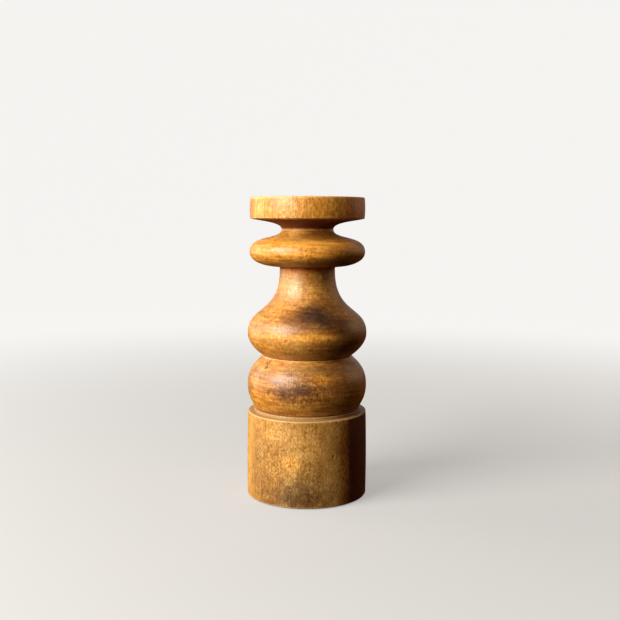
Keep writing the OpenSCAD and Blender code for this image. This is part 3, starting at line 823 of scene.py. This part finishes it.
def makeFelt():
    part, high = felt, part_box("felt_pad")[1]
    radius, top, edge = high.x, high.z, part["edge"]
    points = [
        Vector((0, 0)), *straight((part["middle"], 0), (radius - edge, 0), part["rows"]),
        *corner((radius - edge, edge), edge, -70, 0, 4),
        *corner((radius - edge, top - edge), edge, 0, 90, 4), Vector((0, top)),
    ]
    pad = turnSection("felt_pad", points, part, feltFinish())
    across = 2 * radius
    math.pi * radius * radius
    return pad


# Spike, disc, screws and dowels keep their shapes, and get a finish

steel = {
    "tone": (0.5, 0.49, 0.47, 1), "spots": (0.2, 0.16, 0.12, 1), "spotScale": 300.0, "rings": 5200.0,
    "roughness": 0.34,
}

beech = {
    "dark": (0.55, 0.36, 0.2, 1), "pale": (0.7, 0.51, 0.32, 1), "flecks": (0.4, 0.24, 0.12, 1),
    "grainScale": 500.0, "grainStretch": 0.05, "fleckScale": 1100.0, "fleckStretch": 0.3,
    "roughness": 0.6,
}


def steelFinish():
    look = steel
    material, bench = newFinish("dullSteel")
    place = bench.make("ShaderNodeTexCoord").of("Object")
    x, y, height = bench.split(place)
    away = (x * x + y * y).calc("SQRT")
    rings = look["rings"]
    brushed = bench.noise(bench.join(away * rings, height * rings, 0.0), 1.0, 4.0, 0.7)
    spots = bench.noise(place, look["spotScale"], 4.0, 0.6)
    colour = bench.blend(bench.step(spots, 0.5, 0.75) * 0.6, look["tone"], look["spots"])
    roughness = look["roughness"] + (brushed - 0.5) * 0.2 + bench.step(spots, 0.5, 0.8) * 0.25
    bump = bench.make("ShaderNodeBump", {}, {"Height": brushed * 0.02, "Distance": 0.001})
    surface(bench, {"Base Color": colour, "Metallic": 1.0, "Roughness": roughness, "Normal": bump})
    return material


def beechFinish():
    look = beech
    material, bench = newFinish("bareBeech")
    place = bench.make("ShaderNodeTexCoord").of("Object")
    long = bench.vector("MULTIPLY", place, (1, 1, look["grainStretch"]))
    short = bench.vector("MULTIPLY", place, (1, 1, look["fleckStretch"]))
    grain = bench.noise(long, look["grainScale"], 4.0, 0.6, 0.3)
    flecks = bench.step(bench.noise(short, look["fleckScale"], 2.0), 0.6, 0.7)
    colour = bench.blend(bench.step(grain, 0.35, 0.7), look["dark"], look["pale"])
    colour = bench.blend(flecks * 0.5, colour, look["flecks"])
    bump = bench.make("ShaderNodeBump", {}, {"Height": grain * 0.05, "Distance": 0.001})
    surface(bench, {"Base Color": colour, "Roughness": look["roughness"], "Normal": bump})
    return material


def finishFittings():
    metal = ("spike_disc", "candle_spike", "disc_screws")
    dowels = ("drum_dowel", "bulb_dowel", "neck_dowel", "plate_dowel")
    for nodes, material in ((metal, steelFinish()), (dowels, beechFinish())):
        for node in nodes:
            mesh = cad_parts[node].data
            for i in range(len(mesh.materials)):
                mesh.materials[i] = material
    print("finished", len(metal) + len(dowels), "fittings")


# Stage

stage = {
    "wallRadius": 3.0, "wallHeight": 4.0, "bend": 1.2, "columns": 96,
    "cameraDistance": 864.4 * mm, "cameraHeight": 277.7 * mm, "tilt": 5.97, "swing": 0.186, "roll": 0.2,
    "lens": 50.0, "sensor": 36.0,
    "wallGlow": (0.90, 0.89, 0.87, 1), "floorGlow": (0.41, 0.40, 0.385, 1),
    "wallPaper": (0.03, 0.03, 0.03, 1), "floorPaper": (0.24, 0.235, 0.225, 1),
    "lightDistance": 1.6, "lightAim": (0, 0, 0.17),
    "skyRoom": 0.02, "skyLeft": 0.08, "skyBehind": 0.42, "skyBelow": 0.15,
    "roomTint": (1.0, 0.66, 0.36, 1), "wallTint": (0.98, 0.98, 1.0, 1), "tableTint": (0.30, 0.14, 0.06, 1),
}

# Name, azimuth and elevation in degrees, width and height in metres, power in watts, and tint
lights = (
    ("windowLight", -54, 26, 1.1, 1.0, 62.0, (1.0, 0.98, 0.95)),
    ("sideLight", -112, 12, 0.8, 1.2, 12.0, (1.0, 0.97, 0.93)),
    ("roomLight", 112, 20, 1.0, 1.0, 5.5, (1.0, 0.62, 0.32)),
)


def makeBackdrop():
    part = stage
    bend, wall = part["bend"], part["wallRadius"]
    curve = corner((wall - bend, bend), bend, -90, 0, 24)
    points = [Vector((0, 0)), *curve, Vector((wall, part["wallHeight"]))]
    verts, faces = [], []
    columns = part["columns"]
    for point in points:
        for i in range(columns):
            turn = math.tau * i / columns
            verts.append((point.x * math.cos(turn), point.x * math.sin(turn), point.y))
    for row in range(len(points) - 1):
        for i in range(columns):
            j = (i + 1) % columns
            a, b = row * columns, (row + 1) * columns
            faces.append((a + i, a + j, b + j, b + i))
    mesh = bpy.data.meshes.new("backdrop")
    mesh.from_pydata(verts, [], faces)
    for polygon in mesh.polygons:
        polygon.use_smooth = True
    floor = bpy.data.objects.new("backdrop", mesh)
    bpy.context.scene.collection.objects.link(floor)
    material, bench = newFinish("palePaper")
    # The floor darkens under the piece and the wall glows, as a lit wall would
    x, y, _ = bench.split(bench.make("ShaderNodeTexCoord").of("Object"))
    near = 1 - bench.step((x * x + y * y).calc("SQRT"), 0.15, 1.5)
    glow = bench.blend(near, part["wallGlow"], part["floorGlow"])
    paper = bench.blend(near, part["wallPaper"], part["floorPaper"])
    surface(bench, {"Base Color": paper, "Roughness": 0.9, "Specular IOR Level": 0.1,
                    "Emission Color": glow, "Emission Strength": 1.0})
    mesh.materials.append(material)
    for ray in ("visible_diffuse", "visible_glossy", "visible_transmission", "visible_shadow"):
        setattr(floor, ray, False)
    return floor


def makeCamera():
    part = stage
    data = bpy.data.cameras.new("camera")
    data.lens, data.sensor_width = part["lens"], part["sensor"]
    data.clip_start, data.clip_end = 0.05, 20.0
    camera = bpy.data.objects.new("camera", data)
    bpy.context.scene.collection.objects.link(camera)
    camera.location = (0, -part["cameraDistance"], part["cameraHeight"])
    aim = Matrix.Rotation(math.radians(-part["swing"]), 3, "Z")
    tip = Matrix.Rotation(math.radians(90 - part["tilt"]), 3, "X")
    lean = Matrix.Rotation(math.radians(part["roll"]), 3, "Z")
    camera.rotation_euler = (aim @ tip @ lean).to_euler()
    bpy.context.scene.camera = camera
    return camera


def makeLight(name, azimuth, elevation, width, height, power, tint):
    data = bpy.data.lights.new(name, "AREA")
    data.shape, data.size, data.size_y = "RECTANGLE", width, height
    data.energy, data.color = power, tint
    light = bpy.data.objects.new(name, data)
    bpy.context.scene.collection.objects.link(light)
    a, e = math.radians(azimuth), math.radians(elevation)
    out = Vector((math.sin(a) * math.cos(e), -math.cos(a) * math.cos(e), math.sin(e)))
    light.location = Vector(stage["lightAim"]) + out * stage["lightDistance"]
    light.rotation_euler = out.to_track_quat("Z", "Y").to_euler()
    return light


def makeSky():
    part = stage
    world = bpy.data.worlds.new("room")
    bpy.context.scene.world = world
    world.use_nodes = True
    world.node_tree.nodes.clear()
    bench = Bench(world.node_tree)
    across, away, up = bench.split(bench.make("ShaderNodeTexCoord").of("Generated"))
    # Bright wall behind and to the left, dark room to the right, brown table below
    left = bench.step(across * -1, 0.0, 0.95)
    behind = bench.step(away, 0.5, 0.92)
    below = bench.step(up * -1, -0.02, 0.12)
    strength = part["skyRoom"] + left * part["skyLeft"] + behind * part["skyBehind"]
    white = (left + behind).calc("MINIMUM", 1.0)
    colour = bench.blend(white, part["roomTint"], part["wallTint"])
    colour = bench.blend(below, colour, part["tableTint"])
    strength = strength * (1 - below * (1 - part["skyBelow"]))
    lit = bench.make("ShaderNodeBackground", {}, {"Color": colour, "Strength": strength})
    bench.make("ShaderNodeOutputWorld", {}, {"Surface": lit})


def makeStage():
    makeBackdrop()
    makeCamera()
    makeSky()
    for light in lights:
        makeLight(*light)
    bpy.context.scene.view_settings.view_transform = "Standard"
    print("stage set")


makeStage()
makeDrum()
makeBulb()
makePear()
makeRing()
makePlate()
makeFelt()
finishFittings()
